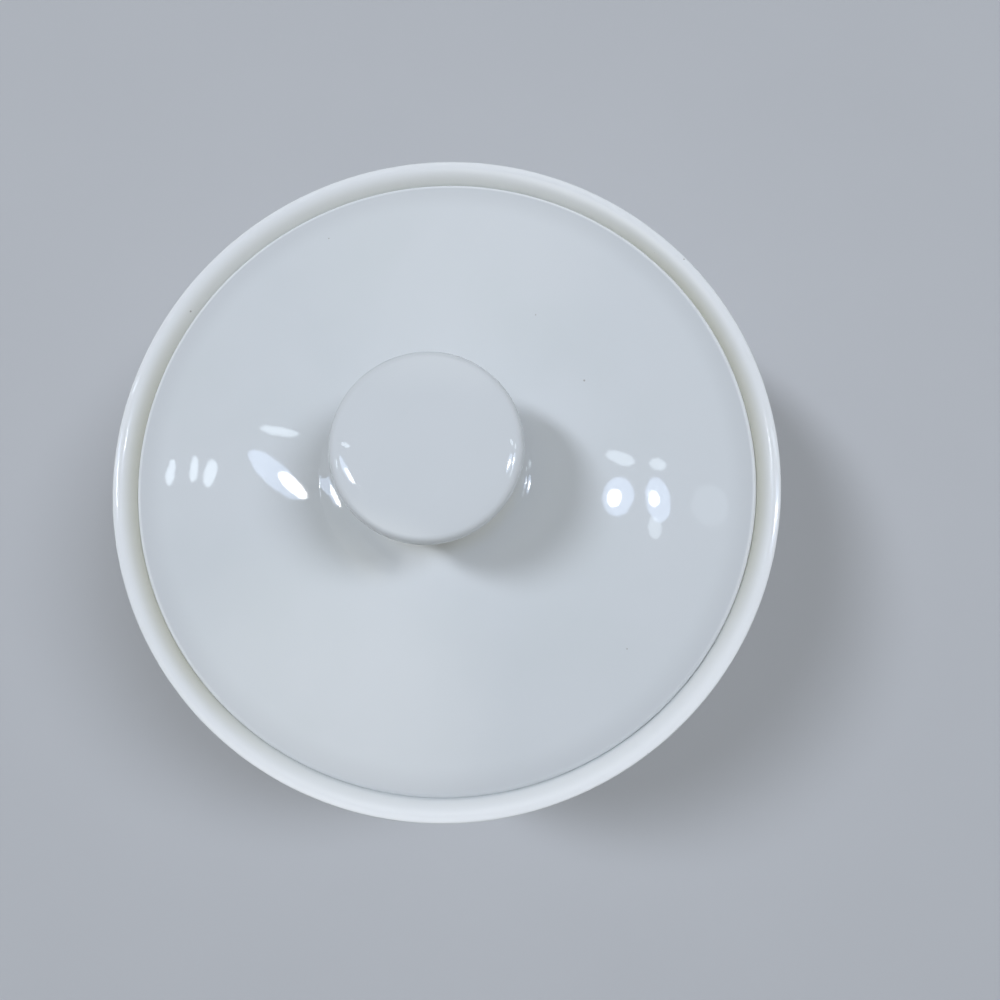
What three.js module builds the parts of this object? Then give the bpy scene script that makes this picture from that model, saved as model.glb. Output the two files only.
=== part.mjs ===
// Covered sugar bowl in glazed white ceramic: a footed bowl, an inset lid and the knob luted to the lid.
// Millimetres, +Z up. The origin is the centre of the foot ring's resting face.
// Every piece is turned about the Z axis, so each is a profile of (radius, height) points.
import * as THREE from "three";

// Bowl: rim, body, floor and foot ring
const RIM_RADIUS = 50;
const LIP_WIDTH = 3.2;
const BOWL_HEIGHT = 66;
const WALL = 4.6;
const FLARE_RISE = 22;
const FLOOR = 5.4;
const FLOOR_RADIUS = 24;
const FOOT_RADIUS = 30;
const FOOT_WIDTH = 4;
const FOOT_HEIGHT = 4.2;
const FOOT_TAPER = 0.5;
const FOOT_ROUND = 0.8;
const FOOT_FILLET = 1.6;

// Gallery: the ledge inside the rim that carries the lid
const LEDGE_WIDTH = 4.4;
const LEDGE_ROUND = 0.8;
const GALLERY_FILLET = 1.4;

// Lid: edge, dome, boss under the knob and locating flange
const LID_DROP = 1.8;
const LID_EDGE = 3.4;
const LID_EDGE_ROUND = 0.8;
const LID_SEAT_ROUND = 1.2;
const LID_WALL = 4.2;
const DOME_RADIUS = 236;
const BOSS_RISE = 1;
const BOSS_SWEEP = 11.5;
const BOSS_SLOPE = THREE.MathUtils.degToRad(40);
const FLANGE_DEPTH = 6;
const FLANGE_WALL = 3.6;
const FLANGE_TAPER = 0.6;
const FLANGE_FILLET = 2.4;

// Knob: foot, neck and mushroom head
const NECK_RADIUS = 8;
const NECK_HEIGHT = 4;
const KNOB_FOOT_FLARE = 2.5;
const HEAD_RADIUS = 12.4;
const HEAD_RISE = 10.8;
const HEAD_BAND = 1.6;
const HEAD_ROUND = 1.2;
const CROWN_RADIUS = 66;

// Clearances
const LID_SIDE_GAP = 0.3;
const LID_SEAT_GAP = 0.3;
const FLANGE_GAP = 0.6;
const KNOB_JOINT = 0.3;

// Fullness of the long curves: each handle's reach, as a share of its curve's own run
const BODY_SPREAD = 0.72;
const BODY_TURN = 0.42;
const FLARE_HOLD = 0.55;
const FLARE_TURN = 0.4;
const CAVITY_TURN = 0.38;
const CAVITY_SPREAD = 0.75;
const BOSS_HOLD = 0.61;
const BOSS_TURN = 0.09;
const HEAD_HOLD = 0.62;
const HEAD_TURN = 0.55;

// Facets: a turned piece's sides, and the steps in small rounds, in half rounds and in long curves
const SIDES = 48;
const ROUND_STEPS = 3;
const HALF_ROUND_STEPS = 8;
const CURVE_STEPS = 8;

const QUARTER = Math.PI / 2;
const SAME_POINT = 1e-4;

// Radii that the pieces share
const galleryRadius = RIM_RADIUS - LIP_WIDTH;
const boreRadius = galleryRadius - LEDGE_WIDTH;
const lidRadius = galleryRadius - LID_SIDE_GAP;
const flangeRadius = boreRadius - FLANGE_GAP;
const bossRadius = NECK_RADIUS + KNOB_FOOT_FLARE;

// Heights that the pieces share: the lid's seat is counted from the table, its dome and boss from that seat
const seatHeight = BOWL_HEIGHT - LID_DROP - LID_EDGE;
const ledgeHeight = seatHeight - LID_SEAT_GAP;
const lidRoundHeight = LID_EDGE - LID_EDGE_ROUND;
const dome = crownOver(lidRadius, lidRoundHeight, LID_EDGE_ROUND, DOME_RADIUS);
const bossHeight = domeHeight(bossRadius) + BOSS_RISE;

function point(radius, height) {
  return new THREE.Vector2(radius, height);
}

// Points of a circular arc from one angle to another, both measured from the outward direction.
function arc(radius, height, round, from, to, steps = ROUND_STEPS) {
  return new THREE.EllipseCurve(radius, height, round, round, from, to, to < from).getPoints(steps);
}

// Points of a rounded corner, with the sharp corner as its handle.
function corner(start, handle, end, steps = ROUND_STEPS) {
  return new THREE.QuadraticBezierCurve(start, handle, end).getPoints(steps);
}

// Points of a long curve drawn with two handles.
function sweep(start, startHandle, endHandle, end) {
  return new THREE.CubicBezierCurve(start, startHandle, endHandle, end).getPoints(CURVE_STEPS);
}

// A shallow crown that runs smoothly into its rounded edge: the crown's centre, and the angle where they meet.
function crownOver(edgeRadius, roundHeight, round, crownRadius) {
  const roundCentre = edgeRadius - round;
  const drop = Math.sqrt((crownRadius - round) ** 2 - roundCentre ** 2);
  return { centre: roundHeight - drop, meets: Math.atan2(drop, roundCentre) };
}

// Height of the lid's dome at a radius, or of the surface that lies inside it by a wall.
function domeHeight(radius, wall = 0) {
  return dome.centre + Math.sqrt((DOME_RADIUS - wall) ** 2 - radius ** 2);
}

// Turns a profile into a closed solid about Z. The profile runs from the axis under the piece,
// up its outside, and back to the axis over its top.
function turned(name, color, profile) {
  const outline = profile.filter((p, i) => i === 0 || p.distanceTo(profile[i - 1]) > SAME_POINT);
  const geometry = new THREE.LatheGeometry(outline, SIDES).rotateX(QUARTER);
  const glaze = new THREE.MeshStandardMaterial({ color, roughness: 0.08, metalness: 0 });
  const mesh = new THREE.Mesh(geometry, glaze);
  mesh.name = name;
  return mesh;
}

// Bowl: a tulip-shaped body on a foot ring, flaring to a full round lip around the lid's gallery.
function makeBowl() {
  const bodyRadius = boreRadius + WALL;
  const lipRound = LIP_WIDTH / 2;
  const lipHeight = BOWL_HEIGHT - lipRound;
  const flareStart = lipHeight - FLARE_RISE;
  const floorHeight = FOOT_HEIGHT + FLOOR;
  const footInner = FOOT_RADIUS - FOOT_WIDTH;
  const footOuter = FOOT_RADIUS + FOOT_TAPER;
  const footFillet = Math.min(FOOT_FILLET, (FOOT_HEIGHT - FOOT_ROUND) / 2);
  const bodyStart = footOuter + footFillet;

  const recess = corner(
    point(footInner - footFillet, FOOT_HEIGHT),
    point(footInner, FOOT_HEIGHT),
    point(footInner, FOOT_HEIGHT - footFillet),
  );
  const footRing = [
    ...arc(footInner + FOOT_ROUND, FOOT_ROUND, FOOT_ROUND, 2 * QUARTER, 3 * QUARTER),
    ...arc(FOOT_RADIUS - FOOT_ROUND, FOOT_ROUND, FOOT_ROUND, -QUARTER, 0),
    ...corner(
      point(footOuter, FOOT_HEIGHT - footFillet),
      point(footOuter, FOOT_HEIGHT),
      point(bodyStart, FOOT_HEIGHT),
    ),
  ];
  const body = sweep(
    point(bodyStart, FOOT_HEIGHT),
    point(bodyStart + (bodyRadius - bodyStart) * BODY_SPREAD, FOOT_HEIGHT),
    point(bodyRadius, FOOT_HEIGHT + (flareStart - FOOT_HEIGHT) * BODY_TURN),
    point(bodyRadius, flareStart),
  );
  const flare = sweep(
    point(bodyRadius, flareStart),
    point(bodyRadius, flareStart + FLARE_RISE * FLARE_HOLD),
    point(RIM_RADIUS, lipHeight - FLARE_RISE * FLARE_TURN),
    point(RIM_RADIUS, lipHeight),
  );
  const lip = arc(RIM_RADIUS - lipRound, lipHeight, lipRound, 0, 2 * QUARTER, HALF_ROUND_STEPS);
  const gallery = [
    ...corner(
      point(galleryRadius, ledgeHeight + GALLERY_FILLET),
      point(galleryRadius, ledgeHeight),
      point(galleryRadius - GALLERY_FILLET, ledgeHeight),
    ),
    ...arc(boreRadius + LEDGE_ROUND, ledgeHeight - LEDGE_ROUND, LEDGE_ROUND, QUARTER, 2 * QUARTER),
  ];
  const cavity = sweep(
    point(boreRadius, flareStart),
    point(boreRadius, floorHeight + (flareStart - floorHeight) * CAVITY_TURN),
    point(FLOOR_RADIUS + (boreRadius - FLOOR_RADIUS) * CAVITY_SPREAD, floorHeight),
    point(FLOOR_RADIUS, floorHeight),
  );
  return turned("bowl", 0xdfe2e3, [
    point(0, FOOT_HEIGHT),
    ...recess,
    ...footRing,
    ...body,
    ...flare,
    ...lip,
    ...gallery,
    ...cavity,
    point(0, floorHeight),
  ]);
}

// Lid: a shallow dome with a swept-up boss for the knob, and a flange that keeps it in the bowl's mouth.
// Its heights are counted from the face that rests on the ledge.
function makeLid() {
  const flangeInner = flangeRadius - FLANGE_WALL;
  const flangeFoot = flangeRadius - FLANGE_TAPER;
  const flangeRound = (flangeFoot - flangeInner) / 2;
  const flangeRoundHeight = flangeRound - FLANGE_DEPTH;
  const undersideRadius = DOME_RADIUS - LID_WALL;
  const undersideEdge = domeHeight(flangeInner, LID_WALL);
  const flangeFillet = Math.min(FLANGE_FILLET, (undersideEdge - flangeRoundHeight) / 2);
  const undersideReach = flangeInner - flangeFillet;
  const sweepRadius = bossRadius + BOSS_SWEEP;

  const underside = arc(
    0,
    dome.centre,
    undersideRadius,
    QUARTER,
    Math.acos(undersideReach / undersideRadius),
  );
  const flange = [
    ...corner(
      point(undersideReach, domeHeight(undersideReach, LID_WALL)),
      point(flangeInner, undersideEdge),
      point(flangeInner, undersideEdge - flangeFillet),
    ),
    ...arc(
      flangeInner + flangeRound,
      flangeRoundHeight,
      flangeRound,
      2 * QUARTER,
      4 * QUARTER,
      HALF_ROUND_STEPS,
    ),
    point(flangeRadius, 0),
  ];
  const edge = [
    ...arc(lidRadius - LID_SEAT_ROUND, LID_SEAT_ROUND, LID_SEAT_ROUND, -QUARTER, 0),
    ...arc(lidRadius - LID_EDGE_ROUND, lidRoundHeight, LID_EDGE_ROUND, 0, dome.meets),
  ];
  const domeTop = arc(
    0,
    dome.centre,
    DOME_RADIUS,
    dome.meets,
    Math.acos(sweepRadius / DOME_RADIUS),
    CURVE_STEPS,
  );
  const sweepHeight = domeHeight(sweepRadius);
  const domeFall = sweepRadius / (sweepHeight - dome.centre);
  const hold = BOSS_SWEEP * BOSS_HOLD;
  const turn = BOSS_SWEEP * BOSS_TURN;
  const boss = sweep(
    point(sweepRadius, sweepHeight),
    point(sweepRadius - hold, sweepHeight + hold * domeFall),
    point(bossRadius + turn, bossHeight - turn * Math.tan(BOSS_SLOPE)),
    point(bossRadius, bossHeight),
  );
  return turned("lid", 0xd9dde1, [
    ...underside,
    ...flange,
    ...edge,
    ...domeTop,
    ...boss,
    point(0, bossHeight),
  ]);
}

// Knob: a mushroom with a narrow neck, for two fingers and a thumb. Its foot carries on the boss's sweep.
// Its heights are counted from its own base.
function makeKnob() {
  const headHeight = NECK_HEIGHT + HEAD_RISE;
  const roundHeight = headHeight + HEAD_BAND;
  const crown = crownOver(HEAD_RADIUS, roundHeight, HEAD_ROUND, CROWN_RADIUS);

  const foot = corner(
    point(bossRadius, 0),
    point(NECK_RADIUS, KNOB_FOOT_FLARE * Math.tan(BOSS_SLOPE)),
    point(NECK_RADIUS, NECK_HEIGHT),
    CURVE_STEPS,
  );
  const head = sweep(
    point(NECK_RADIUS, NECK_HEIGHT),
    point(NECK_RADIUS, NECK_HEIGHT + HEAD_RISE * HEAD_HOLD),
    point(HEAD_RADIUS, headHeight - HEAD_RISE * HEAD_TURN),
    point(HEAD_RADIUS, headHeight),
  );
  const shoulder = arc(HEAD_RADIUS - HEAD_ROUND, roundHeight, HEAD_ROUND, 0, crown.meets, HALF_ROUND_STEPS);
  const crownTop = arc(0, crown.centre, CROWN_RADIUS, crown.meets, QUARTER);
  return turned("knob", 0xd9dde1, [point(0, 0), ...foot, ...head, ...shoulder, ...crownTop]);
}

// The lid and its knob lift off together.
const cover = new THREE.Group();
const lid = makeLid();
const knob = makeKnob();
knob.position.z = bossHeight + KNOB_JOINT;
cover.add(lid, knob);
cover.position.z = seatHeight;

const sugarBowl = new THREE.Group();
sugarBowl.add(makeBowl(), cover);

export default sugarBowl;
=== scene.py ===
# %% [markdown]
# # A covered sugar bowl, turned and glazed
# The real object is three pieces of fired white clay: a footed bowl, a lid that sits on a ledge inside the
# rim, and a knob stuck to the lid with slip. All three are round, so each can be drawn as half of its
# cross-section and turned once about the upright axis, as a potter's template does on the wheel.

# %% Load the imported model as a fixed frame
import math
from collections import namedtuple

import bmesh
import bpy
from mathutils import Matrix, Vector
from mathutils.geometry import interpolate_bezier, intersect_line_sphere


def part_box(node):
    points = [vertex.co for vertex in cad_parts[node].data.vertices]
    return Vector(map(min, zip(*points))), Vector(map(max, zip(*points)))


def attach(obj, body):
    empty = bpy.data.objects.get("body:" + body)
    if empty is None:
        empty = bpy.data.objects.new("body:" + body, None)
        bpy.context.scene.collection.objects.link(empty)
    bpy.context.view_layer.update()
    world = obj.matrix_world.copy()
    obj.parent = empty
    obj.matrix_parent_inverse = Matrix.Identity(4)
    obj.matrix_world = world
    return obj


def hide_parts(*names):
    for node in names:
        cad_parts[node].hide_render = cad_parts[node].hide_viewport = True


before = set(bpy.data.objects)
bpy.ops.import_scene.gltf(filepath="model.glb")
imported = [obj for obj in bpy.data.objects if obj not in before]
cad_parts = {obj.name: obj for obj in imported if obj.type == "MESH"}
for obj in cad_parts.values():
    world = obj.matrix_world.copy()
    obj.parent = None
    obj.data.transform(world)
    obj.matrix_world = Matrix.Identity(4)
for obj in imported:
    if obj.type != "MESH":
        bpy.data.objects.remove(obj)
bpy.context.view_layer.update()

# %% [markdown]
# ## Sizes
# The frame already says how big everything is, so the large sizes are read from its boxes. The smaller
# ones, such as a wall or a rounding, are named in millimetres where each piece is drawn.

# %% Sizes read from the frame
MM = 0.001

bowl_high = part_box("bowl")[1]
lid_low, lid_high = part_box("lid")
knob_low, knob_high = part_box("knob")
rim_radius = bowl_high.x
boss_height = lid_high.z
head_radius = knob_high.x
print(f"rim radius {rim_radius / MM:.1f} mm, knob radius {head_radius / MM:.1f} mm")
print(f"boss at {boss_height / MM:.1f} mm, knob top at {knob_high.z / MM:.1f} mm")

# %% [markdown]
# ## Drawing an outline
# A cross-section could be a Bezier curve with a Screw modifier. Here it is a list of corners for a wire in
# a bmesh instead, each with its own rounding. Long curves and domed faces become many corners close
# together, which need none.

# %% Tools for drawing an outline
SWEEP_STEPS = 36


def share(low, high, part):
    """The value a given part of the way from low to high."""
    return low + (high - low) * part


def sweep(start, start_handle, end_handle, end, steps=SWEEP_STEPS):
    """Corners along a long curve drawn with two handles, as (radius, height, no rounding)."""
    spots = interpolate_bezier(*map(Vector, (start, start_handle, end_handle, end)), steps)
    return [(spot.x, spot.y, 0) for spot in spots]


def along(height_at, start, end, steps):
    """Corners along a surface given by its height at a radius."""
    radii = [share(start, end, step / steps) for step in range(steps + 1)]
    return [(radius, height_at(radius), 0) for radius in radii]


# %% [markdown]
# ## Turning a piece
# The corners become a wire, a vertex bevel rounds each corner that asks for it, and the wire is spun once
# about Z. That keeps every rounding a true arc of known size, which a glossy glaze shows at once. Long
# straight edges are cut shorter before the spin, so that smooth shading doesn't bend the reflections beside
# a small rounding.

# %% Turn an outline, and set the piece in the frame
SIDES = 192
ROUND_STEPS = 10
LONGEST_EDGE = 1.5 * MM
SAME_POINT = 0.001 * MM
CUBIC_CM = (10 * MM) ** 3


def turn(name, corners):
    """Draws a wire through corners of (radius, height, rounding), and spins it once about Z."""
    clay = bmesh.new()
    spots = [clay.verts.new((radius, 0, height)) for radius, height, _ in corners]
    for start, end in zip(spots, spots[1:]):
        clay.edges.new((start, end))
    for spot, (_, _, rounding) in zip(spots, corners):
        if rounding:
            bmesh.ops.bevel(
                clay,
                geom=[spot],
                affect="VERTICES",
                offset_type="OFFSET",
                offset=rounding,
                segments=ROUND_STEPS,
                profile=0.5,
                material=-1,
            )
    for edge in list(clay.edges):
        cuts = int(edge.calc_length() / LONGEST_EDGE)
        if cuts:
            bmesh.ops.subdivide_edges(clay, edges=[edge], cuts=cuts)
    outline = clay.verts[:] + clay.edges[:]
    bmesh.ops.spin(clay, geom=outline, axis=(0, 0, 1), angle=math.tau, steps=SIDES, use_merge=True)
    bmesh.ops.remove_doubles(clay, verts=clay.verts, dist=SAME_POINT)
    bmesh.ops.recalc_face_normals(clay, faces=clay.faces)
    for face in clay.faces:
        face.smooth = True
    mesh = bpy.data.meshes.new(name)
    clay.to_mesh(mesh)
    print(f"{name}: {len(clay.faces)} faces, {clay.calc_volume() / CUBIC_CM:.1f} cm3")
    clay.free()
    piece = bpy.data.objects.new(name, mesh)
    bpy.context.collection.objects.link(piece)
    return piece


def set_in_frame(piece, node, body):
    """Lets a turned piece stand for its node, and move with its body."""
    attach(piece, body)
    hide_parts(node)


# %% [markdown]
# ## The bowl
# A tulip-shaped pot on a foot ring. The wall rises from the foot in one full curve and flares to a thick
# lip. The lip's crest is almost flat and ends in a tight corner on the outside, so that lamps draw lines on
# it, close to the edge. On the inside it falls in one long bend to the groove beside the lid. There a step
# is cut back, the gallery, and the lid rests on its ledge. The glaze closes all but a hair of the gap
# around the lid.

# %% The bowl's sizes
GLAZE_COAT = 0.2 * MM
LID_GAP = 0.02 * MM
LIP_TRIM = 0.9 * MM
LIP_FLAT = 0.85 * MM
LIP_CORNER = 0.8 * MM
LIP_DEPTH = 2.1 * MM
LEDGE_WIDTH = 4.2 * MM
LEDGE_DROP = 4.6 * MM
LEDGE_ROUND = 0.8 * MM
GALLERY_FILLET = 1.3 * MM
WALL = 4.6 * MM
FLARE_RISE = 22 * MM
FLOOR = 5.4 * MM
FLOOR_RADIUS = 24 * MM
FOOT_RADIUS = 30 * MM
FOOT_WIDTH = 4 * MM
FOOT_HEIGHT = 4.2 * MM
FOOT_TAPER = 0.5 * MM
FOOT_ROUND = 0.8 * MM
FOOT_FILLET = 1.6 * MM

lid_radius = lid_high.x + GLAZE_COAT
gallery_radius = lid_radius + LID_GAP
crest_radius = rim_radius - LIP_FLAT
crest_height = bowl_high.z - LIP_TRIM
lip_height = crest_height - LIP_CORNER
gallery_top = crest_height - LIP_DEPTH
ledge_height = crest_height - LEDGE_DROP
bore_radius = gallery_radius - LEDGE_WIDTH
body_radius = bore_radius + WALL
flare_start = lip_height - FLARE_RISE
floor_height = FOOT_HEIGHT + FLOOR
foot_outer = FOOT_RADIUS + FOOT_TAPER
body_start = foot_outer + FOOT_FILLET
print(f"crest at {crest_height / MM:.1f} mm, ledge at {ledge_height / MM:.1f} mm")
print(f"gallery radius {gallery_radius / MM:.2f} mm, bore radius {bore_radius / MM:.2f} mm")

# %% [markdown]
# The outline starts on the axis under the floor, goes round the foot and up the outside, and comes back
# down the inside. Most curves have their handles at a share of their run, so that they keep their character
# when a size changes. The bend inside the lip is drawn by lengths and a slope, which its highlights give.

# %% Turn the bowl
BODY_SPREAD, BODY_TURN = 0.72, 0.42
FLARE_HOLD, FLARE_TURN = 0.55, 0.6
LIP_SIDE, LIP_TOP = 0.95, 0.9
CAVITY_TURN, CAVITY_SPREAD = 0.38, 0.75
LIP_HOLD = 0.85 * MM
LIP_BEND = 0.9 * MM
LIP_SLOPE = math.radians(66)

bend_radius = gallery_radius + LIP_BEND * math.cos(LIP_SLOPE)
bend_height = gallery_top + LIP_BEND * math.sin(LIP_SLOPE)

bowl = turn(
    "turned_bowl",
    [
        (0, FOOT_HEIGHT, 0),
        (FOOT_RADIUS - FOOT_WIDTH, FOOT_HEIGHT, FOOT_FILLET),
        (FOOT_RADIUS - FOOT_WIDTH, 0, FOOT_ROUND),
        (FOOT_RADIUS, 0, FOOT_ROUND),
        (foot_outer, FOOT_HEIGHT, FOOT_FILLET),
        *sweep(
            (body_start, FOOT_HEIGHT),
            (share(body_start, body_radius, BODY_SPREAD), FOOT_HEIGHT),
            (body_radius, share(FOOT_HEIGHT, flare_start, BODY_TURN)),
            (body_radius, flare_start),
        ),
        *sweep(
            (body_radius, flare_start),
            (body_radius, share(flare_start, lip_height, FLARE_HOLD)),
            (rim_radius, share(flare_start, lip_height, FLARE_TURN)),
            (rim_radius, lip_height),
        ),
        *sweep(
            (rim_radius, lip_height),
            (rim_radius, share(lip_height, crest_height, LIP_SIDE)),
            (share(crest_radius, rim_radius, LIP_TOP), crest_height),
            (crest_radius, crest_height),
        ),
        *sweep(
            (crest_radius, crest_height),
            (crest_radius - LIP_HOLD, crest_height),
            (bend_radius, bend_height),
            (gallery_radius, gallery_top),
        ),
        (gallery_radius, ledge_height, GALLERY_FILLET),
        (bore_radius, ledge_height, LEDGE_ROUND),
        *sweep(
            (bore_radius, flare_start),
            (bore_radius, share(floor_height, flare_start, CAVITY_TURN)),
            (share(FLOOR_RADIUS, bore_radius, CAVITY_SPREAD), floor_height),
            (FLOOR_RADIUS, floor_height),
        ),
        (0, floor_height, 0),
    ],
)
set_in_frame(bowl, "bowl", "bowl")

# %% [markdown]
# ## The lid
# A shallow dome, part of a large sphere, with a thin rounded edge that stops just below the lip's crest.
# Towards the middle it sweeps up gently, and then steeply, into a boss for the knob. Under it a flange
# reaches into the bowl's mouth and keeps the lid from sliding off.

# %% The lid's sizes and its two faces
LID_SEAT_GAP = 0.3 * MM
LID_SEAT_ROUND = 1.2 * MM
LID_EDGE_ROUND = 0.8 * MM
LID_WALL = 4.2 * MM
LID_DROP = 0.9 * MM
DOME_RADIUS = 236 * MM
FLANGE_GAP = 0.6 * MM
FLANGE_WALL = 3.6 * MM
FLANGE_TAPER = 0.6 * MM
FLANGE_FILLET = 2.4 * MM
FLANGE_CORNER = 0.5 * MM

seat_height = ledge_height + LID_SEAT_GAP
edge_height = crest_height - LID_DROP
flange_radius = bore_radius - FLANGE_GAP
flange_inner = flange_radius - FLANGE_WALL
flange_foot = flange_radius - FLANGE_TAPER
flange_round = (flange_foot - flange_inner) / 2
edge_centre = lid_radius - LID_EDGE_ROUND
centre_depth = math.sqrt((DOME_RADIUS - LID_EDGE_ROUND) ** 2 - edge_centre**2)
dome_centre = edge_height - LID_EDGE_ROUND - centre_depth


def dome(radius):
    """Height of the lid's outer face at a radius."""
    return dome_centre + math.sqrt(DOME_RADIUS**2 - radius**2)


def ceiling(radius):
    """Height of the lid's inner face, a wall inside the outer one."""
    return dome_centre + math.sqrt((DOME_RADIUS - LID_WALL) ** 2 - radius**2)


print(f"lid radius {lid_radius / MM:.2f} mm, flange radius {flange_radius / MM:.2f} mm")
print(f"edge at {edge_height / MM:.1f} mm, seat at {seat_height / MM:.1f} mm")

# %% [markdown]
# The outline starts on the axis under the lid, goes down round the flange and out to the edge, and comes
# back over the dome. The sweep leaves the dome along its own slope and reaches the boss at a steeper one.
# The boss ends in a short stub inside the knob, so that the two glazed surfaces meet in one smooth line, as
# they do after the firing.

# %% Turn the lid
BOSS_SWEEP = 7.4 * MM
BOSS_RADIUS = 10.5 * MM
BOSS_SLOPE = math.radians(35)
BOSS_HOLD, BOSS_TURN = 0.6, 0.2
BOSS_STEPS = 90
STUB = 0.4 * MM
CREASE = 0.02 * MM
DOME_STEPS = 60

sweep_radius = BOSS_RADIUS + BOSS_SWEEP
sweep_height = dome(sweep_radius)
dome_fall = sweep_radius / (sweep_height - dome_centre)
boss_fall = math.tan(BOSS_SLOPE)
hold = BOSS_SWEEP * BOSS_HOLD
lift = BOSS_SWEEP * BOSS_TURN

lid = turn(
    "turned_lid",
    [
        *along(ceiling, 0, flange_inner - FLANGE_FILLET, DOME_STEPS),
        (flange_inner, ceiling(flange_inner), FLANGE_FILLET),
        (flange_inner, lid_low.z, flange_round),
        (flange_foot, lid_low.z, flange_round),
        (flange_radius, seat_height, FLANGE_CORNER),
        (lid_radius, seat_height, LID_SEAT_ROUND),
        (lid_radius, dome(lid_radius), LID_EDGE_ROUND),
        *along(dome, lid_radius - 2 * LID_EDGE_ROUND, sweep_radius + CREASE, DOME_STEPS),
        *sweep(
            (sweep_radius, sweep_height),
            (sweep_radius - hold, sweep_height + hold * dome_fall),
            (BOSS_RADIUS + lift, boss_height - lift * boss_fall),
            (BOSS_RADIUS, boss_height),
            BOSS_STEPS,
        ),
        (BOSS_RADIUS - STUB / boss_fall, boss_height + STUB, 0),
        (0, boss_height + STUB, 0),
    ],
)
set_in_frame(lid, "lid", "lid")

# %% [markdown]
# Where the knob was stuck on, the potter smoothed the slip with a finger and left it a little fuller on one
# side, and leaning. It stands only a fraction of a millimetre proud, but the glaze mirrors a lamp in it.
# The vertices of the sweep are moved up or down there, most in the middle of that side. The lean fades out
# on the dome, and at the boss, where the lid and the knob have to meet.

# %% The fuller side of the join
SLIP_RISE = 0.17 * MM
SLIP_CREST = 14.6 * MM
SLIP_INNER = 11.5 * MM
SLIP_SIDE = math.radians(178)
SLIP_SPREAD = math.radians(55)
SLIP_LEAN = -0.025
FADE_START, FADE_END = 16.5 * MM, 19.2 * MM


def limited(part):
    """A part, kept between 0 and 1."""
    return min(max(part, 0), 1)


def eased(part):
    """A part of 0 to 1 that starts and ends gently."""
    return part**2 * (3 - 2 * part)


def slip_rise(spot):
    """How far the slip stands above the sweep at a spot, or below it where the lean is down."""
    radius = math.hypot(spot.x, spot.y)
    limit = sweep_radius if radius > SLIP_CREST else SLIP_INNER
    along_radius = (radius - SLIP_CREST) / (limit - SLIP_CREST)
    turn_away = math.remainder(math.atan2(spot.y, spot.x) - SLIP_SIDE, math.tau) / SLIP_SPREAD
    above_dome = eased(limited((FADE_END - radius) / (FADE_END - FADE_START)))
    clear_of_boss = limited((radius - SLIP_INNER) / (SLIP_CREST - SLIP_INNER))
    lean = SLIP_LEAN * spot.y * above_dome * clear_of_boss
    return (SLIP_RISE * max(0, 1 - along_radius**2) + lean) * max(0, 1 - turn_away**4)


near_boss = [vertex for vertex in lid.data.vertices if vertex.co.z > dome(FADE_END)]
rises = [slip_rise(vertex.co) for vertex in near_boss]
for vertex, proud in zip(near_boss, rises):
    vertex.co.z += proud
print(f"slip from {min(rises) / MM:.2f} to {max(rises) / MM:.2f} mm above the sweep")

# %% [markdown]
# ## The knob
# A mushroom: a foot that carries on the boss's sweep, a narrow neck for the fingertips, and a broad head
# that flares up to a tight shoulder and a nearly flat, slightly crowned top. It reaches a hair into the
# boss, where the slip joined the two. The top was trimmed by hand, so it leans by about a quarter of a
# millimetre, a little unevenly.

# %% Turn the knob
NECK_RADIUS = 8 * MM
NECK_HEIGHT = 4 * MM
HEAD_RISE = 12.7 * MM
HEAD_HOLD, HEAD_TURN = 0.62, 0.5
HEAD_LEAN = math.radians(14)
FOOT_BEND = 2 / 3
SHOULDER = 1 * MM
CROWN_FALL = 0.8 * MM
CROWN_POWER = 3.7
CROWN_STEPS = 24
CROWN_MARGIN = 1.5
CROWN_LEAN = -0.021
CROWN_TWIST = 0.0021 / MM

neck_top = knob_low.z + NECK_HEIGHT
head_height = neck_top + HEAD_RISE
flare = HEAD_RISE * HEAD_TURN
foot_corner = boss_height + (BOSS_RADIUS - NECK_RADIUS) * boss_fall


def crown(radius):
    """Height of the crowned top at a radius."""
    return knob_high.z - CROWN_FALL * (radius / head_radius) ** CROWN_POWER


knob = turn(
    "turned_knob",
    [
        (0, boss_height - STUB, 0),
        (BOSS_RADIUS + STUB / boss_fall, boss_height - STUB, 0),
        *sweep(
            (BOSS_RADIUS, boss_height),
            (share(BOSS_RADIUS, NECK_RADIUS, FOOT_BEND), share(boss_height, foot_corner, FOOT_BEND)),
            (NECK_RADIUS, share(neck_top, foot_corner, FOOT_BEND)),
            (NECK_RADIUS, neck_top),
        ),
        *sweep(
            (NECK_RADIUS, neck_top),
            (NECK_RADIUS, share(neck_top, head_height, HEAD_HOLD)),
            (head_radius - flare * math.tan(HEAD_LEAN), head_height - flare),
            (head_radius, head_height),
        ),
        (head_radius, crown(head_radius), SHOULDER),
        *along(crown, head_radius - CROWN_MARGIN * SHOULDER, 0, CROWN_STEPS),
    ],
)
for vertex in knob.data.vertices:
    part = limited((vertex.co.z - head_height) / (crown(head_radius) - head_height))
    vertex.co.z += part * (CROWN_LEAN + CROWN_TWIST * vertex.co.x) * vertex.co.y
set_in_frame(knob, "knob", "lid")

# %% [markdown]
# ## Writing shader maths
# A glaze is a recipe of small effects, each placed by a formula. Wiring Math nodes by hand hides those
# formulas, so one small class wraps a node's output and lets Python's operators add the Math nodes. Every
# other node comes from one method of the recipe.

# %% A value that grows Math nodes


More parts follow.
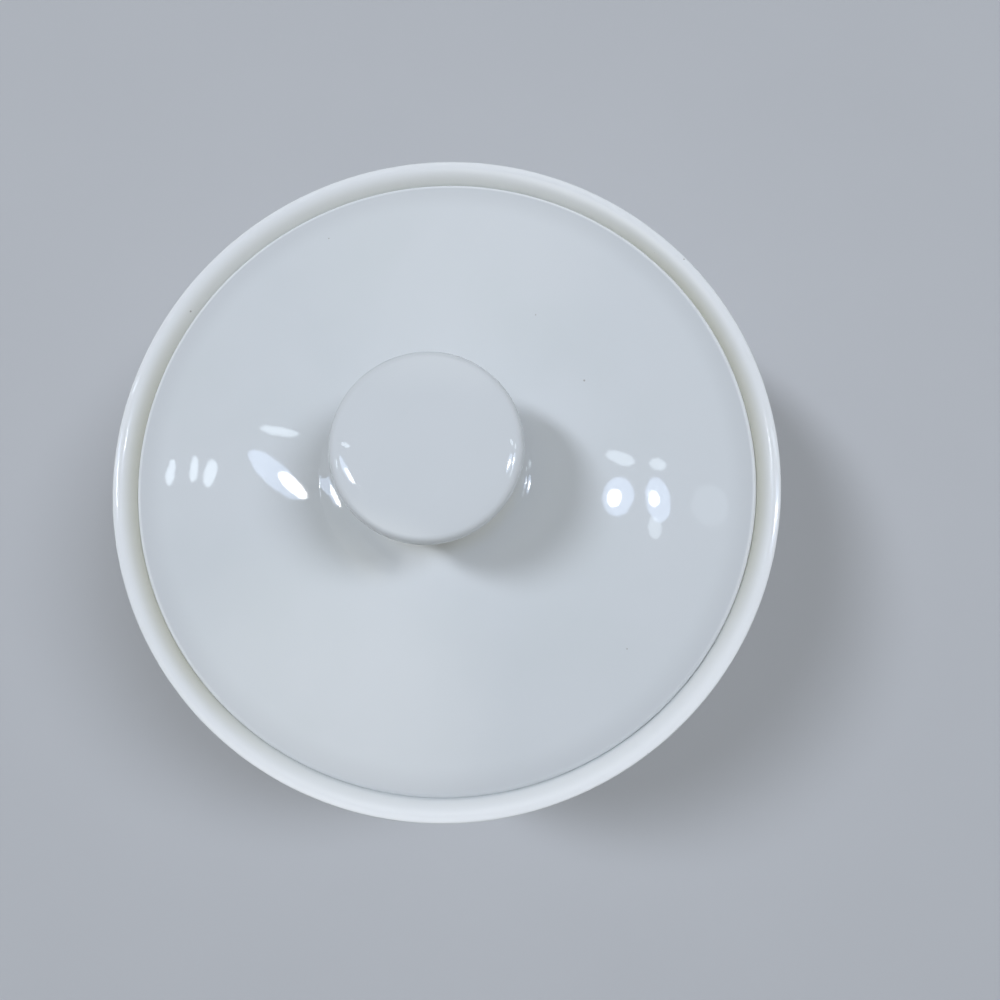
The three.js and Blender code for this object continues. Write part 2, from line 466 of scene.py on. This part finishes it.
class Strand:
    """One output in a recipe. Operators on it add Math nodes."""

    def __init__(self, recipe, socket):
        self.recipe = recipe
        self.socket = socket

    def other(self, output):
        """Another output of the same node."""
        return Strand(self.recipe, self.socket.node.outputs[output])

    def maths(self, operation, *values):
        """A Math node on these values."""
        return self.recipe.node("ShaderNodeMath", {"operation": operation}, dict(enumerate(values)))

    def __add__(self, value):
        return self.maths("ADD", self, value)

    def __sub__(self, value):
        return self.maths("SUBTRACT", self, value)

    def __rsub__(self, value):
        return self.maths("SUBTRACT", value, self)

    def __mul__(self, value):
        return self.maths("MULTIPLY", self, value)

    def __pow__(self, value):
        return self.maths("POWER", self, value)

    def __lt__(self, value):
        return self.maths("LESS_THAN", self, value)

    def __gt__(self, value):
        return self.maths("GREATER_THAN", self, value)

    __radd__ = __add__
    __rmul__ = __mul__


# %% [markdown]
# A recipe holds the nodes of one material, or of the world. Its helpers cover what a glaze needs most: a
# soft step, one colour over another, and soft noise. A Mix node has a set of sockets for each kind of data
# under the same names, so the colour's sockets go by number.

# %% The recipe that the values belong to
MIX_AMOUNT, MIX_BELOW, MIX_ABOVE = 0, 6, 7
MIX_RESULT = 2


class Recipe:
    """The nodes of a material or a world, added one at a time."""

    def __init__(self, owner):
        owner.use_nodes = True
        self.tree = owner.node_tree
        self.tree.nodes.clear()

    def node(self, kind, settings, inputs, output=0):
        """Adds a node, sets it up, fills or links its inputs, and gives back one of its outputs."""
        node = self.tree.nodes.new(kind)
        for name, value in settings.items():
            setattr(node, name, value)
        for name, value in inputs.items():
            if isinstance(value, Strand):
                self.tree.links.new(value.socket, node.inputs[name])
            else:
                node.inputs[name].default_value = value
        return Strand(self, node.outputs[output]) if node.outputs else None

    def between(self, value, low, high):
        """Rises smoothly from 0 to 1 as value goes from low to high."""
        inputs = {"Value": value, "From Min": low, "From Max": high}
        return self.node("ShaderNodeMapRange", {"interpolation_type": "SMOOTHSTEP"}, inputs)

    def mix(self, amount, below, above):
        """Lays one colour over another."""
        inputs = {MIX_AMOUNT: amount, MIX_BELOW: below, MIX_ABOVE: above}
        return self.node("ShaderNodeMix", {"data_type": "RGBA"}, inputs, MIX_RESULT)

    def noise(self, place, size, detail=2):
        """Soft noise from 0 to 1 with features of a given size in metres."""
        return self.node("ShaderNodeTexNoise", {}, {"Vector": place, "Scale": 1 / size, "Detail": detail})


# %% [markdown]
# A zone of a finish depends on where a spot is: how far from the axis, how high, and on which side. All
# three pieces stand in one frame with their axis through its origin, so Object coordinates give that.

# %% Where a spot is
Spot = namedtuple("Spot", "radius height across depth")


def spot_at(recipe, place):
    """A spot's distance from the axis, its height, and how far it is across and deep."""
    across = recipe.node("ShaderNodeSeparateXYZ", {}, {"Vector": place}, "X")
    depth, height = across.other("Y"), across.other("Z")
    return Spot((across * across + depth * depth) ** 0.5, height, across, depth)


# %% [markdown]
# ## The glaze
# The real finish is a clear, glossy glaze over a white body. Five things keep it from looking like plastic.
# It is a little uneven in tone. It draws thin over edges, which look whiter, and pools warm grey in
# corners, and on top of that painted light whitens the lip and the lid's edge, and painted shade darkens the
# groove, the lid's border, the boss and the knob's top and foot. A few iron specks show in it, and its
# surface has a very faint orange peel that bends the edges of the highlights. Where the bowl stands and
# where the lid rests, the glaze is wiped off before firing and the dry, warm body shows.

# %% Colours and sizes of the glaze
GLAZE_WHITE = (0.70, 0.73, 0.755, 1)
GLAZE_CLOUD = (0.675, 0.71, 0.73, 1)
# Painted shade, darkening the lid's border and the knob's top.
PAINTED_SHADE_TONE = (0.64, 0.667, 0.69, 1)
# Thin glaze, whiter also as painted light on the lip and the lid's edge.
THIN_GLAZE_AND_LIGHT = (0.93, 0.945, 0.955, 1)
# Pooled glaze, darker also as painted shade in the groove, round the boss and at the knob's foot.
POOLED_GLAZE_AND_SHADE = (0.63, 0.625, 0.545, 1)
BARE_CLAY = (0.66, 0.61, 0.53, 1)
BARE_GRAIN = (0.50, 0.45, 0.38, 1)
IRON_SPECK = (0.28, 0.25, 0.21, 1)
CLOUD_SIZE = 22 * MM
CLOUD_DETAIL = 3
CLOUD_EDGES = (0.35, 0.75)
SPECK_SPACING = 4 * MM
SPECK_RADIUS = 0.15 * MM
SPECK_LUCK = 0.7
SPECK_AMOUNT = 0.6
PEEL_SIZE = 3.5 * MM
PEEL_HEIGHT = 0.005 * MM
SWELL_SIZE = 18 * MM
SWELL_HEIGHT = 0.01 * MM
GRAIN_SIZE = 0.35 * MM
GRAIN_HEIGHT = 0.03 * MM
GRAIN_EDGES = (0.4, 0.75)
GLOSS = 0.02
GLOSS_SPREAD = 0.02
BARE_ROUGHNESS = 0.85
GLAZE_IOR = 1.52
print(f"specks up to {2 * SPECK_RADIUS / MM:.1f} mm across, in cells of {SPECK_SPACING / MM:.0f} mm")

# %% [markdown]
# The tones are laid over each other from the body colour up: clouds, painted shade, thin glaze with painted
# light, pooled glaze with painted shade, specks, and last the bare clay. Heights of the peel and the grain
# are in metres, so the bump's distance is 1.

# %% The glaze recipe


def glaze(name, pooled_and_shade_zone, shade_zone=None, thin_and_light_zone=None, bare_zone=None):
    """A glazed finish. Each zone is a formula of a spot, 1 inside the zone and 0 outside it."""
    material = bpy.data.materials.new(name)
    recipe = Recipe(material)
    place = recipe.node("ShaderNodeTexCoord", {}, {}, "Object")
    spot = spot_at(recipe, place)

    clouds = recipe.noise(place, CLOUD_SIZE, CLOUD_DETAIL)
    tone = recipe.mix(recipe.between(clouds, *CLOUD_EDGES), GLAZE_WHITE, GLAZE_CLOUD)
    # Painted shade, where a finish has it.
    if shade_zone:
        tone = recipe.mix(shade_zone(recipe, spot), tone, PAINTED_SHADE_TONE)
    # Thin glaze, with painted light.
    if thin_and_light_zone:
        tone = recipe.mix(thin_and_light_zone(recipe, spot), tone, THIN_GLAZE_AND_LIGHT)
    # Pooled glaze, with painted shade.
    tone = recipe.mix(pooled_and_shade_zone(recipe, spot), tone, POOLED_GLAZE_AND_SHADE)
    spacing = {"Vector": place, "Scale": 1 / SPECK_SPACING}
    cells = recipe.node("ShaderNodeTexVoronoi", {}, spacing, "Distance")
    luck = recipe.node("ShaderNodeSeparateColor", {}, {"Color": cells.other("Color")}, "Red")
    specks = (cells < SPECK_RADIUS / SPECK_SPACING) * (luck > SPECK_LUCK)
    tone = recipe.mix(specks * SPECK_AMOUNT, tone, IRON_SPECK)
    roughness = clouds * GLOSS_SPREAD + GLOSS
    peel = recipe.noise(place, PEEL_SIZE) * PEEL_HEIGHT
    surface = peel + recipe.noise(place, SWELL_SIZE) * SWELL_HEIGHT

    if bare_zone:
        bare = bare_zone(recipe, spot)
        grain = recipe.noise(place, GRAIN_SIZE)
        clay = recipe.mix(recipe.between(grain, *GRAIN_EDGES), BARE_CLAY, BARE_GRAIN)
        tone = recipe.mix(bare, tone, clay)
        roughness = roughness * (1 - bare) + bare * BARE_ROUGHNESS
        surface = surface * (1 - bare) + grain * bare * GRAIN_HEIGHT

    bump = recipe.node("ShaderNodeBump", {}, {"Height": surface, "Distance": 1})
    finish = {"Base Color": tone, "Roughness": roughness, "Normal": bump, "IOR": GLAZE_IOR}
    shader = recipe.node("ShaderNodeBsdfPrincipled", {}, finish)
    recipe.node("ShaderNodeOutputMaterial", {}, {"Surface": shader})
    print(f"{name}: {len(recipe.tree.nodes)} nodes")
    return material


# %% [markdown]
# ## Where the bowl's glaze thins, pools and stops, with painted light and shade
# The glaze is thin over the lip, and painted light makes the lip whiter, most at the front. Pooled glaze and
# painted shade darken the groove behind the lip, most on the two sides and least at the front. It is wiped
# off the foot ring's face and the ledge.

# %% Glaze the bowl
BARE_EDGE = 0.25 * MM
FOOT_BARE = 1.1 * MM
LIP_REACH = 5 * MM
GROOVE_REACH = 2.2 * MM
EDGE_SOFT = 0.4 * MM
FRONT_PART = 1 / 3
FRONT_LESS = 0.7
SIDE_PARTS = (0.25, 0.9)
LIP_AMOUNT = 0.68
GROOVE_AMOUNT, GROOVE_SIDES = 0.55, 0.45


def front(recipe, spot):
    """1 at the very front of the rim, fading to 0 towards the middle."""
    return 1 - recipe.between(spot.depth, -gallery_radius, -gallery_radius * FRONT_PART)


def bowl_thin_and_lit(recipe, spot):
    """The lip, fading down the outside: thin glaze, with painted light that is strongest at the front."""
    over_lip = recipe.between(spot.radius, gallery_radius, gallery_radius + EDGE_SOFT)
    over_lip = over_lip * recipe.between(spot.height, crest_height - LIP_REACH, lip_height)
    return over_lip * (front(recipe, spot) * (1 - LIP_AMOUNT) + LIP_AMOUNT)


def bowl_pooled_and_shade(recipe, spot):
    """The groove between the lip and the lid, down to the ledge: pooled glaze with painted shade, most on
    the sides.
    """
    in_groove = 1 - recipe.between(spot.radius, gallery_radius, gallery_radius + GROOVE_REACH)
    in_groove = in_groove * recipe.between(spot.radius, bore_radius, gallery_radius)
    in_groove = in_groove * recipe.between(spot.height, ledge_height, ledge_height + LEDGE_ROUND)
    sides = recipe.between(spot.across * spot.across, *[part * gallery_radius**2 for part in SIDE_PARTS])
    return in_groove * (1 - front(recipe, spot) * FRONT_LESS) * (sides * GROOVE_SIDES + GROOVE_AMOUNT)


def bowl_bare(recipe, spot):
    """The foot ring's face, and the ledge between the bore and the gallery's wall."""
    foot = 1 - recipe.between(spot.height, FOOT_BARE - BARE_EDGE, FOOT_BARE + BARE_EDGE)
    off_bore = recipe.between(spot.radius, bore_radius, bore_radius + LEDGE_ROUND)
    at_wall = recipe.between(spot.radius, gallery_radius - GALLERY_FILLET, gallery_radius)
    round_end = ledge_height - LEDGE_ROUND
    above_bore = recipe.between(spot.height, round_end - LEDGE_ROUND, round_end)
    up_wall = recipe.between(spot.height, ledge_height + BARE_EDGE, ledge_height + GALLERY_FILLET)
    return foot + off_bore * (1 - at_wall) * above_bore * (1 - up_wall)


# The lip: thin glaze with painted light. The groove: pooled glaze with painted shade.
bowl.data.materials.append(glaze("bowl_white_glaze", bowl_pooled_and_shade, thin_and_light_zone=bowl_thin_and_lit, bare_zone=bowl_bare))

# %% [markdown]
# ## Where the lid's glaze thins, pools and stops, with painted light and shade
# On the lid the glaze is thin on the edge itself, and a painted highlight makes the edge brighter except at
# the front. Painted shade darkens a border just inside the edge, pooled glaze and painted shade darken
# the glaze round the boss, and the glaze is wiped off the seat.

# %% Glaze the lid
EDGE_REACH = 0.9 * MM
POOL_REACH = 2.6 * MM
BORDER_REACH = 5 * MM
FOOT_AMOUNT = 0.4
EDGE_AMOUNT = 0.7


def lid_thin_and_highlight(recipe, spot):
    """The rounded edge, except at the front: thin glaze with a painted highlight."""
    at_edge = recipe.between(spot.radius, lid_radius - EDGE_REACH, lid_radius - EDGE_SOFT)
    above_seat = recipe.between(spot.height, seat_height + LID_SEAT_ROUND, edge_height - LID_EDGE_ROUND)
    return at_edge * above_seat * (1 - front(recipe, spot)) * EDGE_AMOUNT


def lid_border_shade(recipe, spot):
    """A painted shade on a border just inside the edge."""
    border = recipe.between(spot.radius, lid_radius - BORDER_REACH, lid_radius - EDGE_REACH)
    return border * (1 - recipe.between(spot.radius, lid_radius - EDGE_REACH, lid_radius - EDGE_SOFT))


def lid_pooled_and_shade(recipe, spot):
    """Pooled glaze and painted shade round the boss, most at its top."""
    near_boss = 1 - recipe.between(spot.radius, BOSS_RADIUS, BOSS_RADIUS + POOL_REACH)
    return near_boss * recipe.between(spot.height, boss_height - POOL_REACH, boss_height) * FOOT_AMOUNT


def lid_bare(recipe, spot):
    """The seat outside the flange, up to the edge's lower rounding."""
    on_seat = recipe.between(spot.radius, flange_radius - BARE_EDGE, flange_radius + BARE_EDGE)
    up_edge = recipe.between(spot.height, seat_height + BARE_EDGE, seat_height + LID_SEAT_ROUND)
    return on_seat * (1 - up_edge)


# The edge: thin glaze with a painted highlight. The border: painted shade. The boss: pooled glaze with
# painted shade.
lid.data.materials.append(glaze("lid_white_glaze", lid_pooled_and_shade, lid_border_shade, lid_thin_and_highlight, lid_bare))

# %% [markdown]
# ## Where the knob's glaze pools, with painted shade
# The knob is glazed all over. Painted shade makes its top a little darker, and pooled glaze and painted
# shade darken its foot, where it meets the lid.

# %% Glaze the knob
TOP_AMOUNT = 0.4


def knob_top_shade(recipe, spot):
    """Painted shade on the top."""
    return recipe.between(spot.height, head_height, crown(head_radius)) * TOP_AMOUNT


def knob_pooled_and_shade(recipe, spot):
    """Pooled glaze and painted shade on the foot, out to the boss."""
    low = 1 - recipe.between(spot.height, knob_low.z, knob_low.z + POOL_REACH)
    return low * recipe.between(spot.radius, NECK_RADIUS, BOSS_RADIUS) * FOOT_AMOUNT


# The top: painted shade. The foot: pooled glaze with painted shade.
knob.data.materials.append(glaze("knob_white_glaze", knob_pooled_and_shade, knob_top_shade))

# %% [markdown]
# ## The room's light
# The bowl stands in an evenly lit room. Its light is a dim sky, a little warm, and brighter all around near
# the horizon, where it lights the bowl's sides. The camera, and reflections, see one even pale tone
# instead, so that the light on the bowl stays plain. The sky's recipe is finished later, when the camera is
# known.

# %% Start the sky
ROOM_TINT = (1.0, 1.0, 0.92, 1)
ROOM_STRENGTH = 0.02
ROOM_SEEN = 0.66
HORIZON_GLOW = 0.45
HORIZON_FADE = (0.3, 0.55)


def shown(recipe):
    """1 for what the camera sees, also in a reflection or through glass, and 0 for light on a surface."""
    ray = recipe.node("ShaderNodeLightPath", {}, {}, "Is Camera Ray")
    mirror, glass = ray.other("Is Glossy Ray"), ray.other("Is Transmission Ray")
    return ray.maths("MAXIMUM", ray.maths("MAXIMUM", ray, mirror), glass)


room = bpy.data.worlds.new("room")
bpy.context.scene.world = room
sky = Recipe(room)
seen = shown(sky)
gaze = sky.node("ShaderNodeTexCoord", {}, {}, "Generated")
rise = sky.node("ShaderNodeSeparateXYZ", {}, {"Vector": gaze}, "Z")
lit = (1 - sky.between(rise, *HORIZON_FADE)) * HORIZON_GLOW + ROOM_STRENGTH
brightness = seen * ROOM_SEEN + (1 - seen) * lit
print(f"room light {ROOM_STRENGTH}, with {HORIZON_GLOW} more at the horizon, seen as {ROOM_SEEN}")

# %% [markdown]
# ## The floor
# A plain pale floor, with a faint mottle so that it isn't one flat tone, takes the bowl's shadow. Far from
# the bowl it fades into the tone that the camera sees in the room, so that no horizon shows.

# %% Lay the floor
FLOOR_SIZE = 3.0
FLOOR_TONE = (0.60, 0.61, 0.63, 1)
FLOOR_MOTTLE = (0.57, 0.58, 0.60, 1)
FLOOR_MOTTLE_SIZE = 0.05
FLOOR_MOTTLE_DETAIL = 4
FLOOR_ROUGHNESS = 0.8
FLOOR_FADE = (0.25, 1.1)

slab = bmesh.new()
bmesh.ops.create_grid(slab, x_segments=1, y_segments=1, size=FLOOR_SIZE / 2)
floor_mesh = bpy.data.meshes.new("pale_floor")
slab.to_mesh(floor_mesh)
slab.free()
floor = bpy.data.objects.new("pale_floor", floor_mesh)
bpy.context.collection.objects.link(floor)

floor_paint = bpy.data.materials.new("floor_paint")
paint = Recipe(floor_paint)
floor_place = paint.node("ShaderNodeTexCoord", {}, {}, "Object")
mottle = paint.noise(floor_place, FLOOR_MOTTLE_SIZE, FLOOR_MOTTLE_DETAIL)
floor_colour = paint.mix(mottle, FLOOR_TONE, FLOOR_MOTTLE)
matt_finish = {"Base Color": floor_colour, "Roughness": FLOOR_ROUGHNESS}
matt = paint.node("ShaderNodeBsdfPrincipled", {}, matt_finish)
backdrop = paint.node("ShaderNodeEmission", {}, {"Color": ROOM_TINT, "Strength": ROOM_SEEN})
far = paint.between(spot_at(paint, floor_place).radius, *FLOOR_FADE)
ground = paint.node("ShaderNodeMixShader", {}, {0: far * shown(paint), 1: matt, 2: backdrop})
paint.node("ShaderNodeOutputMaterial", {}, {"Surface": ground})
floor.data.materials.append(floor_paint)
print(f"floor {FLOOR_SIZE} m wide, fading from {FLOOR_FADE[0]} to {FLOOR_FADE[1]} m")

# %% [markdown]
# ## The camera
# The view is almost straight down, from about 14 cm above the lip. The ellipses of the rim and the lid in
# the photograph, and the offset of the knob, which stands nearer, give the tilt, the roll and the distance.

# %% The photograph's camera
IMAGE_SIZE = 1000
FOCAL_PIXELS = 925
SENSOR = 36
NEAREST = 0.01
TILT = math.radians(8.443)
ROLL = math.radians(14.01)
STAND_OFF = Vector((8.53, -3.53, 138.6)) * MM

eye_data = bpy.data.cameras.new("photo_camera")
eye_data.sensor_width = SENSOR
eye_data.lens = SENSOR * FOCAL_PIXELS / IMAGE_SIZE
eye_data.clip_start = NEAREST
eye = bpy.data.objects.new("photo_camera", eye_data)
bpy.context.collection.objects.link(eye)
turned = Matrix.Rotation(TILT, 4, "X") @ Matrix.Rotation(-ROLL, 4, "Z")
eye.matrix_world = Matrix.Translation((0, 0, lip_height)) @ turned @ Matrix.Translation(STAND_OFF)
bpy.context.scene.camera = eye
print("camera at", [round(value / MM, 1) for value in eye.matrix_world.translation])

# %% [markdown]
# ## The lamps
# Two groups of lamps overhead, to the left and to the right, give the knob its two soft shadows and the
# glaze its highlights. A lamp shows in the lid where the dome mirrors it, so each is placed from its
# highlight: a ray goes from the camera through that spot of the picture, bounces off the dome and runs out
# to the lamp. Its length and width come from two more spots in the same way.

# %% A lamp placed by its highlight
LAMP_DISTANCE = 0.9
lid_middle = Vector((0, 0, dome(0)))


def mirrored(across, down):
    """The point in the room that the lid's dome mirrors to a spot of the picture, in pixels."""
    aim = Vector((across - IMAGE_SIZE / 2, IMAGE_SIZE / 2 - down, -FOCAL_PIXELS)) / FOCAL_PIXELS
    start = eye.matrix_world.translation
    end = eye.matrix_world @ aim
    ball = Vector((0, 0, dome_centre))
    hit = max(intersect_line_sphere(start, end, ball, DOME_RADIUS, False), key=lambda point: point.z)
    return hit + (end - start).normalized().reflect((hit - ball).normalized()) * LAMP_DISTANCE


def hang_lamp(name, middle, end, side, tint):
    """An oval lamp whose mirror image has this middle and reaches these two spots of the picture."""
    place, tip, flank = mirrored(*middle), mirrored(*end), mirrored(*side)
    bulb = bpy.data.lights.new(name, "AREA")
    bulb.shape = "ELLIPSE"
    bulb.size = 2 * (tip - place).length
    bulb.size_y = 2 * (flank - place).length
    bulb.color = tint
    lamp = bpy.data.objects.new(name, bulb)
    bpy.context.collection.objects.link(lamp)
    back = (place - lid_middle).normalized()
    length = (tip - place - back * back.dot(tip - place)).normalized()
    turned = Matrix((length, back.cross(length), back)).transposed().to_4x4()
    lamp.matrix_world = Matrix.Translation(place) @ turned
    return lamp


def oval_area(bulb):
    """The area of an oval lamp."""
    return math.pi * (bulb.size / 2) * (bulb.size_y / 2)


print("the lid's middle is at", [round(value / MM, 1) for value in lid_middle])

# %% [markdown]
# ## Lamps that show
# What shows in the glaze are milky globes with a bright bulb in each, and a few slits and patches of
# daylight. A glow of 1 is as bright as white paper, and the glaze mirrors about a twentieth of it. The
# power for a glow is the glow times pi times the lamp's area.

# %% The highlights, by where they show in the picture
GLOBE_TINT = (0.60, 0.74, 1.0)
BULB_TINT = (1.0, 1.0, 1.0)
DAY_TINT = (0.78, 0.90, 1.0)
GLOBE_GLOW = 6
BULB_GLOW = 22
SLIT_GLOW = 7
CAP_GLOW = 5
BOW_GLOW = 6
DIM_GLOW = 4
PANEL_GLOW = 1

HIGHLIGHTS = {
    "left_globe": {"middle": (276, 475), "end": (302, 498), "side": (284, 466)},
    "left_bulb": {"middle": (293, 485), "end": (307, 498), "side": (297, 480)},
    "left_slit_outer": {"middle": (171, 472), "end": (169, 485), "side": (175, 472)},
    "left_slit_middle": {"middle": (194, 469), "end": (193, 482), "side": (198, 469)},
    "left_slit_inner": {"middle": (210, 473), "end": (207, 487), "side": (216, 474)},
    "left_bow": {"middle": (280, 431), "end": (299, 435), "side": (279, 435)},
    "right_globe_inner": {"middle": (618, 497), "end": (613, 516), "side": (633, 501)},
    "right_bulb_inner": {"middle": (614, 498), "end": (611, 506), "side": (621, 500)},
    "right_globe_outer": {"middle": (658, 500), "end": (661, 522), "side": (670, 498)},
    "right_bulb_outer": {"middle": (654, 499), "end": (655, 507), "side": (659, 499)},
    "right_cap_inner": {"middle": (620, 458), "end": (634, 463), "side": (618, 464)},
    "right_cap_outer": {"middle": (658, 465), "end": (666, 467), "side": (657, 471)},
    "right_drop": {"middle": (655, 528), "end": (657, 539), "side": (662, 527)},
    "right_panel": {"middle": (710, 506), "end": (712, 527), "side": (692, 508)},
}
KINDS = {
    "globe": (GLOBE_TINT, GLOBE_GLOW),
    "bulb": (BULB_TINT, BULB_GLOW),
    "slit": (DAY_TINT, SLIT_GLOW),
    "cap": (DAY_TINT, CAP_GLOW),
    "bow": (DAY_TINT, BOW_GLOW),
    "drop": (DAY_TINT, DIM_GLOW),
    "panel": (DAY_TINT, PANEL_GLOW),
}

for name, spots in HIGHLIGHTS.items():
    tint, glow = KINDS[name.split("_")[1]]
    bulb = hang_lamp(name, **spots, tint=tint).data
    bulb.energy = glow * math.pi * oval_area(bulb)
    print(f"{name}: {bulb.size / MM:.0f} x {bulb.size_y / MM:.0f} mm, {bulb.energy:.2f} W")

# %% [markdown]
# ## Lamps that light
# As bright as they look, the lamps that show are too small to light the bowl softly. So two larger lamps
# hang near the globes and give the light, and a weaker one hangs overhead and shades the lid under the
# knob's edge. Reflections don't see them. Each gives a share of the light under which a colour renders as
# it is written. A lamp straight overhead gives all of it at pi squared times its distance squared, in watts.

# %% The three soft lamps
SIDE_TINT = (0.807, 0.86, 0.96)
TOP_TINT = ROOM_TINT[:3]
SOFT_LIGHT = (math.pi * LAMP_DISTANCE) ** 2
SOFT_LAMPS = {
    "left_soft": {"middle": (300, 487), "end": (348, 529), "side": (316, 469), "tint": SIDE_TINT},
    "right_soft": {"middle": (681, 502), "end": (753, 502), "side": (681, 550), "tint": SIDE_TINT},
    "top_soft": {"middle": (455, 560), "end": (515, 560), "side": (455, 620), "tint": TOP_TINT},
}
SOFT_SHARE = {"left_soft": 0.425, "right_soft": 0.375, "top_soft": 0.08}

for name, spots in SOFT_LAMPS.items():
    lamp = hang_lamp(name, **spots)
    lamp.data.energy = SOFT_SHARE[name] * SOFT_LIGHT
    lamp.visible_glossy = False
    print(f"{name}: {lamp.data.size / MM:.0f} x {lamp.data.size_y / MM:.0f} mm, {lamp.data.energy:.2f} W")

# %% [markdown]
# ## A sheen on the lid
# A ceiling is never quite even, and the lid mirrors it: it looks a little brighter near its front left and
# its back. Two soft patches in the sky do that. Each faces the direction that the dome mirrors to a spot of
# the picture, and fades out around it.

# %% Finish the sky with two soft patches
SHEENS = {
    "front": {"spot": (330, 695), "reach": math.radians(26), "glow": 1.3},
    "back": {"spot": (455, 250), "reach": math.radians(23), "glow": 0.6},
}

for name, sheen in SHEENS.items():
    toward = (mirrored(*sheen["spot"]) - lid_middle).normalized()
    facing = sky.node("ShaderNodeVectorMath", {"operation": "DOT_PRODUCT"}, {0: gaze, 1: toward}, "Value")
    brightness = brightness + seen * sky.between(facing, math.cos(sheen["reach"]), 1) * sheen["glow"]
    print(f"{name} sheen towards", [round(value, 2) for value in toward])
light = sky.node("ShaderNodeBackground", {}, {"Color": ROOM_TINT, "Strength": brightness})
sky.node("ShaderNodeOutputWorld", {}, {"Surface": light})

# %% [markdown]
# ## Last settings
# The Standard view shows colours as they are written.

# %% Finish
bpy.context.scene.view_settings.view_transform = "Standard"
